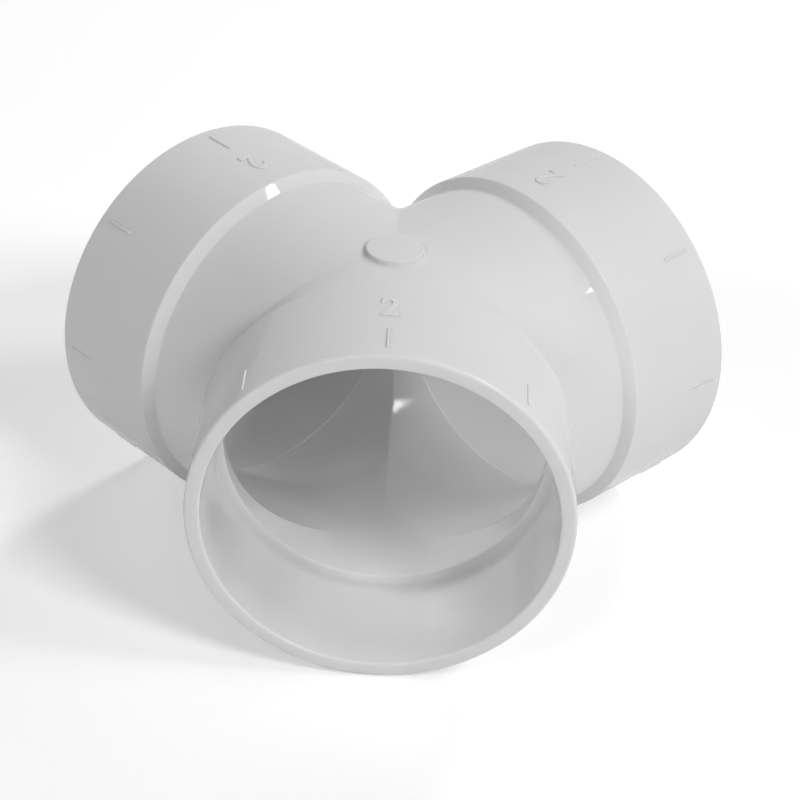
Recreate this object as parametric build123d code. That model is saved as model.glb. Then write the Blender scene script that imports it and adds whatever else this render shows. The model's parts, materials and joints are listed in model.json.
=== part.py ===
"""Three-way duct fitting, moulded in one piece: a front socket and two rear sockets on a shared junction.

All three axes lie level and cross at one point. Each arm is a straight tube that steps out, at a
sloping shoulder, to a hub. The hub holds a socket for a thin-wall tube, with a stop at its foot.
The fitting lies on its hubs: X is across, -Y is the front socket's way out and Z is up.
"""
from build123d import *

import os
from math import cos, isclose, radians, sin, tan

# Driving dimensions, in millimetres
TUBE_DIAMETER = 50.8       # outside of the tube that slips into each socket
TUBE_CLEARANCE = 0.1       # gap all round that tube
SOCKET_DEPTH = 18.8        # rim to stop
STOP_HEIGHT = 1.5          # ledge that the tube's end meets
STOP_BACKING = 1.0         # hub length behind the stop
WALL = 2.25                # wall of hubs and junction alike
ARM_ANGLE = 135            # degrees from the front axis to each rear axis
CROTCH_WALL = 1.0          # plastic between the two rear sockets where they come closest
FRONT_SETBACK = 0.2        # front hub's back edge, ahead of where it would meet the rear arms
SHOULDER_RUN = 1.5         # length of the slope from the junction's tube up to a hub

# Edges
SHOULDER_BEVEL = 0.3       # top of the slope behind each hub
RIM_BEVEL = 0.4            # outer edge of each rim
LEAD_IN = 0.35             # bevel round each socket's mouth
STOP_BEVEL = 0.25          # edge of the stop, towards the duct
CREASE_RADIUS = 1.8        # valleys where the arms meet outside
NOSE_RADIUS = 1.8          # blunt ridge inside, where the two rear bores meet

# Gate disc on the crown, where the mould was filled
GATE_DIAMETER = 8.5
GATE_HEIGHT = 0.5
GATE_BEVEL = 0.15

# Raised alignment ticks round each hub
TICK_COUNT = 8
TICK_LENGTH = 5.0
TICK_WIDTH = 0.5
TICK_HEIGHT = 0.25
TICK_SETBACK = 2.2         # rim to the near end of a tick

# Radii and lengths that follow
socket_radius = TUBE_DIAMETER / 2 + TUBE_CLEARANCE
bore_radius = socket_radius - STOP_HEIGHT
hub_radius = socket_radius + WALL
tube_radius = bore_radius + WALL
hub_length = SOCKET_DEPTH + STOP_BACKING
root = WALL / 2            # how far a raised feature is rooted in the wall

# Half the angle between the rear axes, and between the front axis and either rear one
rear_half_angle = radians(180 - ARM_ANGLE)
front_half_angle = radians(ARM_ANGLE / 2)

# Reach of each arm, from the crossing of the axes to its rim
rear_stop = (socket_radius * cos(rear_half_angle) + CROTCH_WALL / 2) / sin(rear_half_angle)
rear_reach = rear_stop + SOCKET_DEPTH
front_reach = hub_radius / tan(front_half_angle) + FRONT_SETBACK + hub_length

arms = [(0, front_reach), (ARM_ANGLE, rear_reach), (-ARM_ANGLE, rear_reach)]


def along(angle):
    """Placement of an arm: its own Z axis points out of the socket and its own X axis points down."""
    return Rot(0, 0, angle) * Rot(90, 0, 0) * Rot(0, 0, -90)


def rods(radius):
    """Three plain rods from the crossing into the hubs, and the creases where they meet."""
    joined = Part()
    for angle, reach in arms:
        length = reach - hub_length / 2
        joined += along(angle) * Cylinder(radius, length, align=(Align.CENTER, Align.CENTER, Align.MIN))
    return joined, joined.edges().filter_by(GeomType.ELLIPSE)


def turned(outline, bevels=()):
    """Solid turned about Z from (radius, height) points, with the listed corners bevelled."""
    with BuildPart() as solid:
        with BuildSketch(Plane.XZ) as profile:
            with BuildLine():
                Polyline(*outline, close=True)
            make_face()
            for corner, size in bevels:
                chamfer(profile.vertices().sort_by_distance(corner)[0], size)
        revolve(axis=Axis.Z)
    return solid.part


def hub(reach):
    """Hub as a solid plug, with its shoulder's slope carried on into the tube's wall."""
    top = reach - hub_length
    foot = top - SHOULDER_RUN * (STOP_HEIGHT + root) / STOP_HEIGHT
    top_corner = (hub_radius, top)
    rim_corner = (hub_radius, reach)
    outline = [(0, foot), (tube_radius - root, foot), top_corner, rim_corner, (0, reach)]
    return turned(outline, [(top_corner, SHOULDER_BEVEL), (rim_corner, RIM_BEVEL)])


def socket(reach):
    """Room for a tube in a hub, from the stop to the bevelled mouth."""
    stop = reach - SOCKET_DEPTH
    bevel = reach - LEAD_IN
    mouth_radius = socket_radius + LEAD_IN
    outline = [(0, stop), (socket_radius, stop), (socket_radius, bevel), (mouth_radius, reach), (0, reach)]
    return turned(outline)


def gate():
    """Flat disc standing on the crown of the junction."""
    disc = Cylinder(GATE_DIAMETER / 2, root + GATE_HEIGHT, align=(Align.CENTER, Align.CENTER, Align.MIN))
    disc = chamfer(disc.edges().sort_by(Axis.Z)[-1], GATE_BEVEL)
    return Pos(0, 0, tube_radius - root) * disc


def ticks(reach):
    """Alignment ticks round one hub, the first of them on top."""
    tick = Box(root + TICK_HEIGHT, TICK_WIDTH, TICK_LENGTH, align=(Align.MIN, Align.CENTER, Align.MAX))
    ring = PolarLocations(hub_radius - root, TICK_COUNT, start_angle=180)
    return [Pos(0, 0, reach - TICK_SETBACK) * place * tick for place in ring]


def outside():
    """Outer form: junction and hubs, with the gate disc and the ticks."""
    body, valleys = rods(tube_radius)
    body = fillet(valleys, CREASE_RADIUS)
    body += [along(angle) * hub(reach) for angle, reach in arms]
    body += gate()
    body += [along(angle) * tick for angle, reach in arms for tick in ticks(reach)]
    return body


def inside():
    """Inner space: the three bores and the sockets, with the edge of each stop bevelled."""
    duct, ridges = rods(bore_radius)
    duct = fillet(ridges.filter_by(lambda edge: edge.center().Y > 0), NOSE_RADIUS)
    duct += [along(angle) * socket(reach) for angle, reach in arms]
    circles = duct.edges().filter_by(GeomType.CIRCLE)
    stop_edges = circles.filter_by(lambda edge: isclose(edge.radius, bore_radius, rel_tol=1e-6))
    return chamfer(stop_edges, STOP_BEVEL)


fitting = outside() - inside()

# The origin is under the middle of the fitting, on the surface that it lies on
extent = fitting.bounding_box()
fitting = Pos(-extent.center().X, -extent.center().Y, -extent.min.Z) * fitting

os.makedirs("parts", exist_ok=True)
export_step(fitting, "parts/fitting_body.step")
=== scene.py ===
"""Looks of a three-way duct fitting, moulded in one piece in white plastic.

The file is laid out as an add-on and run as a script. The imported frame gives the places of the
sockets, and the sizes that a user would change are properties. X is across, -Y is the front
socket's way out, Z is up, and lengths are in metres.
"""

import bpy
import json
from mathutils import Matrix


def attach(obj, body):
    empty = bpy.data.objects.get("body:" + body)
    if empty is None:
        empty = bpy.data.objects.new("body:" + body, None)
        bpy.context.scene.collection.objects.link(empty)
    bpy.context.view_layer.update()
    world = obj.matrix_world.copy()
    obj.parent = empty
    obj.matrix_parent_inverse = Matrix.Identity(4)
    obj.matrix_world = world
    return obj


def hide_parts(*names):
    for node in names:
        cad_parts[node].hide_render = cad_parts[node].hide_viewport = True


bl_info = {
    "name": "Three-way Duct Fitting",
    "version": (1, 0, 0),
    "blender": (4, 5, 0),
    "location": "3D View > Sidebar > Fitting",
    "description": "Models a moulded three-way duct fitting and the studio around it",
    "category": "Object",
}

import json
from itertools import combinations
from math import acos, atan, cos, pi, radians, sin, tan

import bpy
from bpy.props import FloatProperty, FloatVectorProperty, IntProperty, PointerProperty
from mathutils import Matrix, Vector

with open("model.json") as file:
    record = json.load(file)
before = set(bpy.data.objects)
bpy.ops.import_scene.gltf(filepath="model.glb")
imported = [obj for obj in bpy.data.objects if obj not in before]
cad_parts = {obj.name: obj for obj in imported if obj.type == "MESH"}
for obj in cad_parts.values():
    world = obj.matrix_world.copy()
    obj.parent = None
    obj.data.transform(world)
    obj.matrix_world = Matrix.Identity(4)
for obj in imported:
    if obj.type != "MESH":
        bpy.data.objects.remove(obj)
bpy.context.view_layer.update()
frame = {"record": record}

MM = 0.001
MERGE = 0.001 * MM
UP = Vector((0, 0, 1))
WHITE = (1, 1, 1, 1)
BODY = "root"
CAD_NODE = "fitting_body"

# Sockets of the frame, and the point where their axes cross
mounts = {mount["name"]: mount for mount in frame["record"]["mounts"]}
socket_radius = mounts["front_socket"]["dims"]["r_mm"] * MM
socket_wall = mounts["front_socket"]["dims"]["length_mm"] * MM
right_place = Vector(mounts["right_socket"]["pos_m"])
right_axis = Vector(mounts["right_socket"]["axis"]).normalized()
crossing = right_place - right_axis * (right_place.x / right_axis.x)


def linear(code):
    """Linear colour of an sRGB hex code."""
    shares = [int(code[start : start + 2], 16) / 255 for start in (0, 2, 4)]
    return [
        share / 12.92 if share <= 0.04045 else ((share + 0.055) / 1.055) ** 2.4 for share in shares
    ]


class Arm:
    """One arm of the fitting: its axis out of the junction, and the distances along it."""

    def __init__(self, mount, lead_in):
        self.axis = Vector(mount["axis"]).normalized()
        middle = (Vector(mount["pos_m"]) - crossing).dot(self.axis)
        self.stop = middle - socket_wall / 2
        self.reach = middle + socket_wall / 2 + lead_in

    def place(self):
        """Placement whose own Z is the arm's axis and whose own Y is up."""
        across = UP.cross(self.axis)
        turn = Matrix((across, UP, self.axis)).transposed().to_4x4()
        return Matrix.Translation(crossing) @ turn


class FittingSizes(bpy.types.PropertyGroup):
    """Sizes of the fitting that the frame doesn't hold."""

    sides: IntProperty(
        name="Sides", description="Straight sides that make up each round",
        default=192, min=32, max=512,
    )
    wall: FloatProperty(
        name="Wall", description="Wall of hubs and junction alike",
        default=2.25 * MM, unit="LENGTH",
    )
    lead_in: FloatProperty(
        name="Lead-in", description="Rounding of each socket's mouth",
        default=0.35 * MM, unit="LENGTH",
    )
    stop_height: FloatProperty(
        name="Stop height", description="Ledge that a tube's end meets",
        default=1.5 * MM, unit="LENGTH",
    )
    stop_backing: FloatProperty(
        name="Stop backing", description="Hub length behind the stop",
        default=1.0 * MM, unit="LENGTH",
    )
    shoulder_run: FloatProperty(
        name="Shoulder run", description="Length of the slope behind each hub",
        default=1.5 * MM, unit="LENGTH",
    )
    shoulder_radius: FloatProperty(
        name="Shoulder radius", description="Foot and top of the slope",
        default=0.4 * MM, unit="LENGTH",
    )
    rim_radius: FloatProperty(
        name="Rim radius", description="Outer edge of each rim",
        default=0.45 * MM, unit="LENGTH",
    )
    stop_radius: FloatProperty(
        name="Stop radius", description="Edge of each stop, towards the duct",
        default=0.25 * MM, unit="LENGTH",
    )
    stop_lean: FloatProperty(
        name="Stop lean", description="How far the ledge leans back towards the duct",
        default=0.35 * MM, unit="LENGTH",
    )
    foot_radius: FloatProperty(
        name="Foot radius", description="Foot of each stop, towards the socket's wall",
        default=0.35 * MM, unit="LENGTH",
    )
    crease_radius: FloatProperty(
        name="Crease radius", description="Valleys where the arms meet outside",
        default=1.8 * MM, unit="LENGTH",
    )
    ridge_radius: FloatProperty(
        name="Ridge radius", description="Ridges where the front bore meets the rear ones",
        default=0.5 * MM, unit="LENGTH",
    )
    nose_radius: FloatProperty(
        name="Nose radius", description="Blunt ridge where the two rear bores meet",
        default=0.8 * MM, unit="LENGTH",
    )
    gate_radius: FloatProperty(
        name="Gate radius", description="Disc on the crown, where the mould was filled",
        default=4.25 * MM, unit="LENGTH",
    )
    gate_height: FloatProperty(
        name="Gate height", description="How far the disc stands proud",
        default=0.5 * MM, unit="LENGTH",
    )


class FittingMarks(bpy.types.PropertyGroup):
    """Raised marks on the hubs."""

    tick_count: IntProperty(
        name="Ticks", description="Alignment ticks round each hub",
        default=8, min=1, max=72,
    )
    tick_length: FloatProperty(
        name="Tick length", description="Length along the hub",
        default=5.0 * MM, unit="LENGTH",
    )
    tick_width: FloatProperty(
        name="Tick width", description="Width round the hub",
        default=0.42 * MM, unit="LENGTH",
    )
    tick_height: FloatProperty(
        name="Tick height", description="How far a tick stands proud",
        default=0.2 * MM, unit="LENGTH",
    )
    tick_setback: FloatProperty(
        name="Tick setback", description="Rim to the near end of a tick",
        default=2.2 * MM, unit="LENGTH",
    )
    numeral_height: FloatProperty(
        name="Numeral height", description="Height of the size numeral",
        default=5.0 * MM, unit="LENGTH",
    )
    numeral_proud: FloatProperty(
        name="Numeral relief", description="How far the numeral stands proud",
        default=0.16 * MM, unit="LENGTH",
    )
    numeral_setback: FloatProperty(
        name="Numeral setback", description="Rim to the foot of the numeral",
        default=10.5 * MM, unit="LENGTH",
    )


class FittingFinish(bpy.types.PropertyGroup):
    """Colours and sheen of the plastic, and colour of the studio's floor."""

    plastic: FloatVectorProperty(
        name="Plastic", description="Neutral white of the moulded plastic",
        subtype="COLOR", size=3, default=linear("E3E3E3"),
    )
    outer_roughness: FloatProperty(
        name="Outer roughness", description="Polished outside of the moulding",
        default=0.04, min=0, max=1,
    )
    inner_roughness: FloatProperty(
        name="Inner roughness", description="Inside of the moulding, a little less polished",
        default=0.1, min=0, max=1,
    )
    depth_share: FloatProperty(
        name="Depth share", description="Share of the light that spreads within the plastic",
        default=0.6, min=0, max=1,
    )
    spread: FloatProperty(
        name="Spread", description="How far light spreads within the plastic",
        default=1.0 * MM, unit="LENGTH",
    )
    floor: FloatVectorProperty(
        name="Floor", description="Pale floor of the studio",
        subtype="COLOR", size=3, default=linear("F4F4F4"),
    )


def hub_radius(sizes):
    """Outer radius of a hub."""
    return socket_radius + sizes.wall


def tube_radius(sizes):
    """Outer radius of the junction's tubes."""
    return socket_radius + sizes.wall - sizes.stop_height


def bore_radius(sizes):
    """Radius of the ducts through the junction."""
    return socket_radius - sizes.stop_height


def all_arms(sizes):
    """The three arms, front first."""
    names = ("front_socket", "right_socket", "left_socket")
    return [Arm(mounts[name], sizes.lead_in) for name in names]


def select_only(piece):
    """Leave one piece selected and active."""
    bpy.ops.object.select_all(action="DESELECT")
    piece.select_set(True)
    bpy.context.view_layer.objects.active = piece


def arc(distance, radius, bend, start, end, steps):
    """Points of an arc about (distance, radius) as (distance, radius), from one angle to another."""
    angles = [start + (end - start) * step / steps for step in range(steps + 1)]
    return [(distance + bend * sin(angle), radius + bend * cos(angle)) for angle in angles]


def turned(name, stations, place, sides):
    """Closed solid made from a disc: it is extruded and resized once for each (distance, radius)."""
    distance, radius = stations[0]
    bpy.ops.object.select_all(action="DESELECT")
    bpy.ops.mesh.primitive_circle_add(
        vertices=sides, radius=radius, fill_type="NGON", location=(0, 0, distance)
    )
    solid = bpy.context.active_object
    solid.name = name
    bpy.ops.object.mode_set(mode="EDIT")
    for next_distance, next_radius in stations[1:]:
        step = (0, 0, next_distance - distance)
        bpy.ops.mesh.extrude_region_move(TRANSFORM_OT_translate={"value": step})
        grow = next_radius / radius
        bpy.ops.transform.resize(value=(grow, grow, 1), center_override=(0, 0, next_distance))
        distance, radius = next_distance, next_radius
    bpy.ops.mesh.select_all(action="SELECT")
    bpy.ops.mesh.normals_make_consistent(inside=False)
    bpy.ops.object.mode_set(mode="OBJECT")
    solid.matrix_world = place @ solid.matrix_world
    bpy.ops.object.transform_apply(location=True, rotation=True, scale=True)
    return solid


def merge_points(solid):
    """Merge points that fall together."""
    select_only(solid)
    bpy.ops.object.mode_set(mode="EDIT")
    bpy.ops.mesh.select_all(action="SELECT")
    bpy.ops.mesh.remove_doubles(threshold=MERGE)
    bpy.ops.object.mode_set(mode="OBJECT")


def join(pieces):
    """Join pieces into the first of them."""
    select_only(pieces[0])
    for piece in pieces[1:]:
        piece.select_set(True)
    bpy.ops.object.join()
    return pieces[0]


def combine(target, tool, operation):
    """Join a tool solid to a target or cut it out of it, and remove the tool."""
    select_only(target)
    modifier = target.modifiers.new(tool.name, "BOOLEAN")
    modifier.operation = operation
    modifier.solver = "EXACT"
    modifier.material_mode = "TRANSFER"
    modifier.object = tool
    bpy.ops.object.modifier_apply(modifier=modifier.name)
    bpy.data.objects.remove(tool)
    merge_points(target)


def placed_copy(shape, place):
    """Copy of a shape with its own mesh, put in its place."""
    select_only(shape)
    bpy.ops.object.duplicate()
    copy = bpy.context.active_object
    copy.matrix_world = place
    bpy.ops.object.transform_apply(location=True, rotation=True, scale=True)
    return copy


def add_node(tree, kind, inputs=None, **settings):
    """Add a node with its settings. An input is given a value, or the output that it is linked to."""
    node = tree.nodes.new(kind)
    for name, value in settings.items():
        setattr(node, name, value)
    for socket, value in (inputs or {}).items():
        if isinstance(value, bpy.types.NodeSocket):
            tree.links.new(value, node.inputs[socket])
        else:
            node.inputs[socket].default_value = value
    return node


def empty_tree(material):
    """Node tree of a material, cleared."""
    material.use_nodes = True
    material.node_tree.nodes.clear()
    return material.node_tree


def moulded_pvc(name, roughness, depth_share):
    """Rigid white PVC, injection moulded: an even white that goes faintly cloudy where it flowed.

    Its sheen wavers a little where the mould was polished by hand.
    """
    if name in bpy.data.materials:
        return bpy.data.materials[name]
    finish = bpy.context.scene.fitting_finish
    material = bpy.data.materials.new(name)
    tree = empty_tree(material)
    place = add_node(tree, "ShaderNodeTexCoord").outputs["Object"]

    # Cloudiness from the flow of the melt
    cloud_size = 14 * MM
    dulling = 0.965
    clouds = add_node(
        tree, "ShaderNodeTexNoise",
        {"Vector": place, "Scale": 1 / cloud_size, "Detail": 3.0, "Roughness": 0.55},
    )
    white = [*finish.plastic, 1.0]
    dull = [share * dulling for share in finish.plastic] + [1.0]
    colour = add_node(
        tree, "ShaderNodeMix", {"Factor": clouds.outputs["Fac"], "A": white, "B": dull},
        data_type="RGBA",
    )

    # Handling leaves the gloss a little uneven, in smears
    smear_size = 5 * MM
    smear_low, smear_high = 0.3, 0.7
    waver = 0.2
    smears = add_node(
        tree, "ShaderNodeTexNoise",
        {"Vector": place, "Scale": 1 / smear_size, "Detail": 4.0, "Roughness": 0.6},
    )
    gloss = add_node(
        tree, "ShaderNodeMapRange",
        {
            "Value": smears.outputs["Fac"],
            "From Min": smear_low,
            "From Max": smear_high,
            "To Min": roughness * (1 - waver),
            "To Max": roughness * (1 + waver),
        },
    )

    # Polish marks of the mould, which are long low waves
    wave_size = 3 * MM
    wave_height = 0.01 * MM
    waves = add_node(
        tree, "ShaderNodeTexNoise", {"Vector": place, "Scale": 1 / wave_size, "Detail": 2.0}
    )
    relief = add_node(
        tree, "ShaderNodeBump",
        {"Height": waves.outputs["Fac"], "Strength": 0.35, "Distance": wave_height},
    )
    shader = add_node(
        tree, "ShaderNodeBsdfPrincipled",
        {
            "Base Color": colour.outputs["Result"],
            "Roughness": gloss.outputs["Result"],
            "Normal": relief.outputs["Normal"],
            "IOR": 1.53,
            "Subsurface Weight": depth_share,
            "Subsurface Radius": (1, 1, 1),
            "Subsurface Scale": finish.spread,
        },
    )
    add_node(tree, "ShaderNodeOutputMaterial", {"Surface": shader.outputs["BSDF"]})
    return material


def coat(piece, material):
    """Give a piece one material alone."""
    piece.data.materials.clear()
    piece.data.materials.append(material)


def polish(piece):
    """Give a piece the gloss of the mould's polished outer halves: lamps show in it as clear shapes."""
    finish = bpy.context.scene.fitting_finish
    coat(piece, moulded_pvc("white_pvc_polished", finish.outer_roughness, finish.depth_share))


def polish_mark(piece):
    """Give a small raised form the same gloss. It is too thin for light to spread within it."""
    finish = bpy.context.scene.fitting_finish
    coat(piece, moulded_pvc("white_pvc_mark", finish.outer_roughness, 0.0))


def polish_inside(piece):
    """Give a piece the sheen of the mould's turned cores: what it reflects is a little blurred."""
    finish = bpy.context.scene.fitting_finish
    coat(piece, moulded_pvc("white_pvc_inside", finish.inner_roughness, finish.depth_share))


def finish_piece(piece, name):
    """Name a finished piece and let it ride on the fitting."""
    piece.name = name
    piece.data.name = name
    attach(piece, BODY)


class FITTING_OT_shell(bpy.types.Operator):
    """Model the one-piece shell: junction, hubs, sockets, stops and gate disc"""

    bl_idname = "fitting.shell"
    bl_label = "Shell"

    # Straight steps in each small round and in each rounded crease
    arc_steps = 5
    crease_steps = 5
    # Angle at which a rounded edge is let run into the next surface
    grazing = radians(8)
    # How far a rod starts behind the crossing, before it is mitred
    behind = 5 * MM
    # How deep a solid is let into the one that it joins or cuts
    bite = 0.3 * MM
    # How far the cutters run on past a socket's mouth and past the edge of a stop
    mouth_overrun = 1.2 * MM
    stop_overrun = 0.6 * MM
    # Distance of the extra row of points beside a round, which keeps the shading of the wall even
    support = 0.12 * MM
    # Rounding of the gate disc's edge as a share of its height
    gate_edge = 0.2
    smooth_angle = radians(32)

    def mitre(self, rod, arm, arms):
        """Trim a rod at the planes that it shares with the other arms."""
        select_only(rod)
        bpy.ops.object.mode_set(mode="EDIT")
        for other in arms:
            if other is not arm:
                bpy.ops.mesh.select_all(action="SELECT")
                bpy.ops.mesh.bisect(
                    plane_co=crossing,
                    plane_no=(other.axis - arm.axis).normalized(),
                    clear_outer=True,
                    threshold=MERGE,
                )
        bpy.ops.object.mode_set(mode="OBJECT")

    def weigh_creases(self, joined, radius, arms, side_share, rear_share):
        """Weigh each crease edge so that its bevel is a round of one radius, whatever its angle."""
        mesh = joined.data
        weights = [0.0] * len(mesh.edges)
        for one, other in combinations(arms, 2):
            share = side_share if one is arms[0] else rear_share
            across = one.axis - other.axis
            between = one.axis + other.axis
            bend = -one.axis.dot(other.axis)
            for edge in mesh.edges:
                ends = [mesh.vertices[index].co - crossing for index in edge.vertices]
                on_plane = all(abs(end.dot(across)) < MERGE for end in ends)
                in_front = all(end.dot(between) > -MERGE for end in ends)
                if on_plane and in_front:
                    height = min(1.0, abs(ends[0].z + ends[1].z) / 2 / radius)
                    turn = acos(height**2 + (1 - height**2) * bend)
                    weights[edge.index] = share * tan(turn / 2)
        layer = mesh.attributes.new("bevel_weight_edge", "FLOAT", "EDGE")
        layer.data.foreach_set("value", weights)

    def junction(self, name, radius, side_crease, rear_crease, arms, ends, sides):
        """Three rods that are mitred where they meet, joined, with their creases rounded."""
        rods = []
        for arm in arms:
            rod = turned(name, [(-self.behind, radius), *ends(arm)], arm.place(), sides)
            self.mitre(rod, arm, arms)
            rods.append(rod)
        joined = join(rods)
        merge_points(joined)
        widest = max(side_crease, rear_crease)
        self.weigh_creases(joined, radius, arms, side_crease / widest, rear_crease / widest)
        bevel = joined.modifiers.new("creases", "BEVEL")
        bevel.limit_method = "WEIGHT"
        bevel.width = widest
        bevel.segments = self.crease_steps
        bevel.use_clamp_overlap = False
        bpy.ops.object.modifier_apply(modifier=bevel.name)
        merge_points(joined)
        return joined

    def hub_stations(self, arm, sizes):
        """Outline of a hub: foot of the slope, slope, hub and rim."""
        outer = hub_radius(sizes)
        top = arm.stop - sizes.stop_backing
        slope = atan(sizes.stop_height / sizes.shoulder_run)
        edge = sizes.shoulder_radius
        tangent = edge * tan(slope / 2)
        foot = arc(
            top - sizes.shoulder_run - tangent, tube_radius(sizes) + edge, edge,
            pi - self.grazing, pi - slope, self.arc_steps
        )
        start = (foot[0][0] - self.bite / tan(self.grazing), foot[0][1] - self.bite)
        shoulder = arc(top + tangent, outer - edge, edge, -slope, 0, self.arc_steps)
        rim = sizes.rim_radius
        edge_of_rim = arc(arm.reach - rim, outer - rim, rim, 0, pi / 2, self.arc_steps)
        return [
            start,
            *foot,
            *shoulder,
            (shoulder[-1][0] + self.support, outer),
            (arm.reach - rim - self.support, outer),
            *edge_of_rim,
            (arm.reach, outer - rim - self.support),
        ]

    def stop_angle(self, sizes):
        """Angle by which the ledge of a stop leans back."""
        return atan(sizes.stop_lean / sizes.stop_height)

    def socket_stations(self, arm, sizes):
        """Outline of the room in a hub, from the stop out past the rounded mouth."""
        lean = self.stop_angle(sizes)
        inner = (
            arm.stop - (sizes.stop_height + self.bite) * tan(lean),
            socket_radius - sizes.stop_height - self.bite,
        )
        round_off = sizes.foot_radius
        middle = arm.stop + round_off * (1 - sin(lean)) / cos(lean)
        foot = arc(middle, socket_radius - round_off, round_off, lean - pi / 2, 0, self.arc_steps)
        mouth = arc(
            arm.reach - sizes.lead_in, socket_radius + sizes.lead_in, sizes.lead_in,
            pi, pi / 2 + self.grazing, self.arc_steps
        )
        past = (
            mouth[-1][0] + self.mouth_overrun * tan(self.grazing),
            mouth[-1][1] + self.mouth_overrun,
        )
        return [
            inner,
            *foot,
            (middle + self.support, socket_radius),
            (arm.reach - sizes.lead_in - self.support, socket_radius),
            *mouth,
            past,
        ]

    def bore_stations(self, arm, sizes):
        """Outline of a bore, flared round the edge of the stop."""
        bore = bore_radius(sizes)
        round_off = sizes.stop_radius
        lean = self.stop_angle(sizes)
        middle = arm.stop - (round_off + (sizes.stop_height - round_off) * sin(lean)) / cos(lean)
        end = lean + self.grazing
        flare = arc(middle, bore + round_off, round_off, pi, pi / 2 + end, self.arc_steps)
        past = (flare[-1][0] + self.stop_overrun * tan(end), flare[-1][1] + self.stop_overrun)
        return [(middle - self.support, bore), *flare, past]

    def gate_stations(self, sizes):
        """Outline of the disc on the crown, from within the wall up."""
        crown = tube_radius(sizes)
        top = crown + sizes.gate_height
        round_off = sizes.gate_height * self.gate_edge
        edge = arc(top - round_off, sizes.gate_radius - round_off, round_off, 0, pi / 2, self.arc_steps)
        return [(crown - sizes.wall / 2, sizes.gate_radius), *edge]

    def execute(self, context):
        sizes = context.scene.fitting_sizes
        sides = sizes.sides
        arms = all_arms(sizes)
        tube = tube_radius(sizes)

        shell = self.junction(
            "fitting_shell", tube, sizes.crease_radius, sizes.crease_radius, arms,
            lambda arm: [((arm.stop + arm.reach) / 2, tube)], sides
        )
        polish(shell)
        half_side = Matrix.Rotation(pi / sides, 4, "Z")
        for arm in arms:
            hub = turned("hub", self.hub_stations(arm, sizes), arm.place() @ half_side, sides)
            polish(hub)
            combine(shell, hub, "UNION")
        crown = Matrix.Translation(crossing) @ half_side
        gate = turned("gate", self.gate_stations(sizes), crown, sides // 2)
        polish_mark(gate)
        combine(shell, gate, "UNION")

        bores = self.junction(
            "bores", bore_radius(sizes), sizes.ridge_radius, sizes.nose_radius, arms,
            lambda arm: self.bore_stations(arm, sizes), sides
        )
        polish_inside(bores)
        combine(shell, bores, "DIFFERENCE")
        for arm in arms:
            socket = turned("socket", self.socket_stations(arm, sizes), arm.place() @ half_side, sides)
            polish_inside(socket)
            combine(shell, socket, "DIFFERENCE")

        bpy.ops.object.shade_smooth_by_angle(angle=self.smooth_angle)
        finish_piece(shell, "fitting_shell")
        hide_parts(CAD_NODE)
        return {"FINISHED"}


# Share of the wall that a raised mark is rooted in, and the angle up to which its faces are smoothed
MARK_ROOT = 1 / 3
MARK_SMOOTH = radians(40)


def finish_marks(shape, copies, name):
    """Join the copies of a mark into one finished piece, and remove the shape they were made from."""
    bpy.data.objects.remove(shape)
    piece = join(copies)
    bpy.ops.object.shade_smooth_by_angle(angle=MARK_SMOOTH)
    polish_mark(piece)
    finish_piece(piece, name)


class FITTING_OT_ticks(bpy.types.Operator):
    """Model one raised tick and set copies of it round each hub"""

    bl_idname = "fitting.ticks"
    bl_label = "Alignment ticks"

    # Rounding of a tick's edges as a share of its width, and the straight steps in it
    edge_share = 0.45
    edge_steps = 5

    def tick(self, marks, root):
        """One tick: a bar with rounded edges, rooted in the wall."""
        bpy.ops.object.select_all(action="DESELECT")
        bpy.ops.mesh.primitive_cube_add(size=1)
        bar = bpy.context.active_object
        bpy.ops.object.mode_set(mode="EDIT")
        size = (marks.tick_width, marks.tick_height + root, marks.tick_length)
        bpy.ops.transform.resize(value=size)
        bpy.ops.transform.translate(value=(0, (marks.tick_height - root) / 2, 0))
        bpy.ops.mesh.bevel(
            offset=marks.tick_width * self.edge_share, segments=self.edge_steps, affect="EDGES"
        )
        bpy.ops.object.mode_set(mode="OBJECT")
        return bar

    def execute(self, context):
        sizes = context.scene.fitting_sizes
        marks = context.scene.fitting_marks
        bar = self.tick(marks, sizes.wall * MARK_ROOT)
        copies = []
        for arm in all_arms(sizes):
            middle = arm.reach - marks.tick_setback - marks.tick_length / 2
            out = Matrix.Translation((0, hub_radius(sizes), middle))
            for index in range(marks.tick_count):
                turn = Matrix.Rotation(2 * pi * index / marks.tick_count, 4, "Z")
                copies.append(placed_copy(bar, arm.place() @ turn @ out))
        finish_marks(bar, copies, "alignment_ticks")
        return {"FINISHED"}


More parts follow.
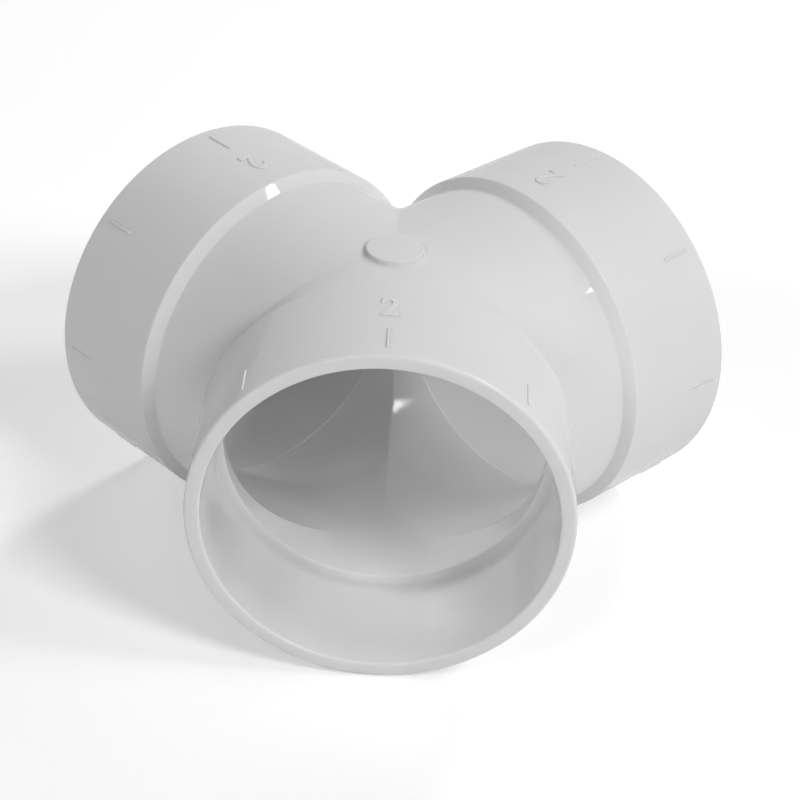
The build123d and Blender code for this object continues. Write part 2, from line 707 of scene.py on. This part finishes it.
class FITTING_OT_numerals(bpy.types.Operator):
    """Model the raised size numeral on the top of each hub"""

    bl_idname = "fitting.numerals"
    bl_label = "Size numerals"

    # Height of a numeral as a share of the font's size, and how its outline is changed
    digit_share = 0.73
    narrowing = 0.8
    boldness = 0.2 * MM
    # Rounding of its edges as a share of its relief, and the straight steps in curves and edges
    edge_share = 0.8
    curve_steps = 12
    edge_steps = 3

    def numeral(self, marks, root):
        """Plain numeral as a mesh of the asked height, centred, with its foot on the X axis."""
        bpy.ops.object.select_all(action="DESELECT")
        bpy.ops.object.text_add()
        text = bpy.context.active_object
        text.data.body = "2"
        text.data.align_x = "CENTER"
        text.data.size = marks.numeral_height / self.digit_share
        text.data.resolution_u = self.curve_steps
        text.data.bevel_depth = marks.numeral_proud * self.edge_share
        text.data.bevel_resolution = self.edge_steps
        text.data.offset = self.boldness - text.data.bevel_depth
        text.data.extrude = (root + marks.numeral_proud) / 2 - text.data.bevel_depth
        bpy.ops.object.convert(target="MESH")
        shape = bpy.context.active_object
        foot = min(point.co.y for point in shape.data.vertices)
        shape.location = (0, -foot, (marks.numeral_proud - root) / 2)
        shape.scale = (self.narrowing, 1, 1)
        bpy.ops.object.transform_apply(location=True, rotation=True, scale=True)
        merge_points(shape)
        return shape

    def execute(self, context):
        sizes = context.scene.fitting_sizes
        marks = context.scene.fitting_marks
        shape = self.numeral(marks, sizes.wall * MARK_ROOT)
        copies = []
        for arm in all_arms(sizes):
            # The numeral's foot is towards the rim and its face is up
            across = UP.cross(arm.axis)
            turn = Matrix((across, -arm.axis, UP)).transposed().to_4x4()
            along = arm.axis * (arm.reach - marks.numeral_setback)
            foot = crossing + along + UP * hub_radius(sizes)
            copies.append(placed_copy(shape, Matrix.Translation(foot) @ turn))
        finish_marks(shape, copies, "size_numerals")
        return {"FINISHED"}


class FITTING_OT_stage(bpy.types.Operator):
    """Set up the studio: pale floor, soft light and the camera"""

    bl_idname = "fitting.stage"
    bl_label = "Studio"

    # Camera, fitted to the photo: distance from the crossing of the axes, and angles
    image_width = 800
    sensor = 36 * MM
    focal_pixels = 2337.5
    distance = 354.9 * MM
    elevation = radians(33.11)
    azimuth = radians(0.968)
    roll = radians(2.453)
    centre_shift = (0.01406, 0.00135)
    near_clip = 10 * MM
    far_clip = 50.0

    # Floor: its width, and the share of white that its paint falls short of under these lamps
    floor_size = 1.6
    floor_lift = 0.3
    # Distances from the fitting between which the floor goes over into white
    fade_start = 250 * MM
    fade_end = 700 * MM
    # Share by which reflections show floor and walls dimmer than the eye sees them
    mirror_dimming = 0.25
    # Light that comes evenly from all round
    ambient = 0.03

    def direction(self, azimuth, elevation):
        """Way from the fitting to a place given by its angles, round from the front and up."""
        return Vector((
            sin(azimuth) * cos(elevation),
            -cos(azimuth) * cos(elevation),
            sin(elevation),
        ))

    def camera(self, context):
        """Camera at the photo's viewing angle."""
        back = self.direction(self.azimuth, self.elevation)
        level = Vector((cos(self.azimuth), sin(self.azimuth), 0))
        upright = back.cross(level)
        right = level * cos(self.roll) + upright * sin(self.roll)
        up = upright * cos(self.roll) - level * sin(self.roll)
        turn = Matrix((right, up, back)).transposed().to_4x4()
        bpy.ops.object.select_all(action="DESELECT")
        bpy.ops.object.camera_add()
        camera = context.active_object
        camera.name = "camera"
        camera.matrix_world = Matrix.Translation(crossing + back * self.distance) @ turn
        camera.data.sensor_width = self.sensor / MM
        camera.data.lens = self.focal_pixels / self.image_width * camera.data.sensor_width
        camera.data.shift_x, camera.data.shift_y = self.centre_shift
        camera.data.clip_start = self.near_clip
        camera.data.clip_end = self.far_clip
        context.scene.camera = camera

    def lamp(self, name, azimuth, elevation, power, distance=1.2, size=0.3, mirrored=False):
        """Square soft lamp that faces the fitting. Only a mirrored one shows in reflections."""
        way = self.direction(radians(azimuth), radians(elevation))
        bpy.ops.object.select_all(action="DESELECT")
        bpy.ops.object.light_add(type="AREA", location=crossing + way * distance)
        lamp = bpy.context.active_object
        lamp.name = name
        lamp.rotation_euler = way.to_track_quat("Z", "Y").to_euler()
        lamp.data.shape = "SQUARE"
        lamp.data.size = size
        lamp.data.energy = power
        lamp.visible_glossy = mirrored

    def seen(self, tree):
        """Output that is 1 for what the eye sees, straight or mirrored, and 0 for light on its way."""
        path = add_node(tree, "ShaderNodeLightPath")
        seen = path.outputs["Is Camera Ray"]
        for kind in ("Is Glossy Ray", "Is Transmission Ray"):
            either = add_node(
                tree, "ShaderNodeMath", {0: seen, 1: path.outputs[kind]}, operation="MAXIMUM"
            )
            seen = either.outputs["Value"]
        return seen

    def dimming(self, tree):
        """Output that is the dimming for reflections, and 0 for all else."""
        path = add_node(tree, "ShaderNodeLightPath")
        dimming = add_node(
            tree, "ShaderNodeMath", {0: path.outputs["Is Glossy Ray"], 1: self.mirror_dimming},
            operation="MULTIPLY",
        )
        return dimming.outputs["Value"]

    def floor(self, context):
        """Wide pale floor that the fitting lies on."""
        bpy.ops.object.select_all(action="DESELECT")
        bpy.ops.mesh.primitive_plane_add(size=self.floor_size)
        floor = context.active_object
        floor.name = "floor"

        # Matt floor paint, which takes the fitting's shadow
        material = bpy.data.materials.new("matt_floor_paint")
        tree = empty_tree(material)
        colour = [*context.scene.fitting_finish.floor, 1.0]
        paint = add_node(
            tree, "ShaderNodeBsdfPrincipled",
            {"Base Color": colour, "Roughness": 0.9, "Specular IOR Level": 0.1},
        )

        # Only the eye and reflections see it lifted to white, so it gives the fitting no more light
        seen = self.seen(tree)
        lift = add_node(tree, "ShaderNodeMath", {0: seen, 1: self.floor_lift}, operation="MULTIPLY")
        glow = add_node(
            tree, "ShaderNodeEmission", {"Color": WHITE, "Strength": lift.outputs["Value"]}
        )
        lifted = add_node(
            tree, "ShaderNodeAddShader", {0: paint.outputs["BSDF"], 1: glow.outputs["Emission"]}
        )

        # Away from the fitting it goes over into the white of the walls, so that its edge isn't seen
        place = add_node(tree, "ShaderNodeTexCoord").outputs["Object"]
        away = add_node(tree, "ShaderNodeVectorMath", {0: place}, operation="LENGTH")
        fade = add_node(
            tree, "ShaderNodeMapRange",
            {
                "Value": away.outputs["Value"],
                "From Min": self.fade_start,
                "From Max": self.fade_end,
            },
        )
        share = add_node(
            tree, "ShaderNodeMath", {0: seen, 1: fade.outputs["Result"]}, operation="MULTIPLY"
        )
        white = add_node(tree, "ShaderNodeEmission", {"Color": WHITE, "Strength": 1.0})
        faded = add_node(
            tree, "ShaderNodeMixShader",
            {0: share.outputs["Value"], 1: lifted.outputs["Shader"], 2: white.outputs["Emission"]},
        )
        dimmed = add_node(
            tree, "ShaderNodeMixShader", {0: self.dimming(tree), 1: faded.outputs["Shader"]}
        )
        add_node(tree, "ShaderNodeOutputMaterial", {"Surface": dimmed.outputs["Shader"]})
        floor.data.materials.append(material)

    def surroundings(self, context):
        """White walls for the eye and for reflections, and an even dim light from all round."""
        world = bpy.data.worlds.new("studio")
        context.scene.world = world
        world.use_nodes = True
        tree = world.node_tree
        tree.nodes.clear()
        ambient = add_node(
            tree, "ShaderNodeBackground", {"Color": WHITE, "Strength": self.ambient}
        )
        level = add_node(
            tree, "ShaderNodeMath", {0: 1.0, 1: self.dimming(tree)}, operation="SUBTRACT"
        )
        white = add_node(
            tree, "ShaderNodeBackground", {"Color": WHITE, "Strength": level.outputs["Value"]}
        )
        both = add_node(
            tree, "ShaderNodeMixShader",
            {
                0: self.seen(tree),
                1: ambient.outputs["Background"],
                2: white.outputs["Background"],
            },
        )
        add_node(tree, "ShaderNodeOutputWorld", {"Surface": both.outputs["Shader"]})

    def execute(self, context):
        context.scene.view_settings.view_transform = "Standard"
        self.camera(context)
        self.floor(context)
        self.surroundings(context)
        self.lamp("key_softbox", azimuth=45, elevation=40, power=6.5)
        self.lamp(
            "right_softbox", azimuth=84, elevation=46, power=2.6, distance=1.1, size=0.24, mirrored=True
        )
        self.lamp("left_softbox", azimuth=-42, elevation=35, power=3.65)
        self.lamp("rear_right_softbox", azimuth=150, elevation=35, power=4.3)
        self.lamp("rear_left_softbox", azimuth=-150, elevation=12, power=2.9)
        return {"FINISHED"}


STEPS = (FITTING_OT_shell, FITTING_OT_ticks, FITTING_OT_numerals, FITTING_OT_stage)
GROUPS = {
    "fitting_sizes": FittingSizes,
    "fitting_marks": FittingMarks,
    "fitting_finish": FittingFinish,
}


class FITTING_PT_sidebar(bpy.types.Panel):
    """Sidebar panel with the fitting's sizes and the steps that model it"""

    bl_idname = "FITTING_PT_sidebar"
    bl_label = "Three-way fitting"
    bl_space_type = "VIEW_3D"
    bl_region_type = "UI"
    bl_category = "Fitting"

    def draw(self, context):
        for group in GROUPS:
            settings = getattr(context.scene, group)
            box = self.layout.box()
            for name in settings.__annotations__:
                box.prop(settings, name)
        for step in STEPS:
            self.layout.operator(step.bl_idname)


CLASSES = (*GROUPS.values(), *STEPS, FITTING_PT_sidebar)


def register():
    for cls in CLASSES:
        bpy.utils.register_class(cls)
    for name, group in GROUPS.items():
        setattr(bpy.types.Scene, name, PointerProperty(type=group))


def unregister():
    for name in GROUPS:
        delattr(bpy.types.Scene, name)
    for cls in reversed(CLASSES):
        bpy.utils.unregister_class(cls)


def main():
    register()
    bpy.ops.fitting.shell()
    bpy.ops.fitting.ticks()
    bpy.ops.fitting.numerals()
    bpy.ops.fitting.stage()


if __name__ == "__main__":
    main()
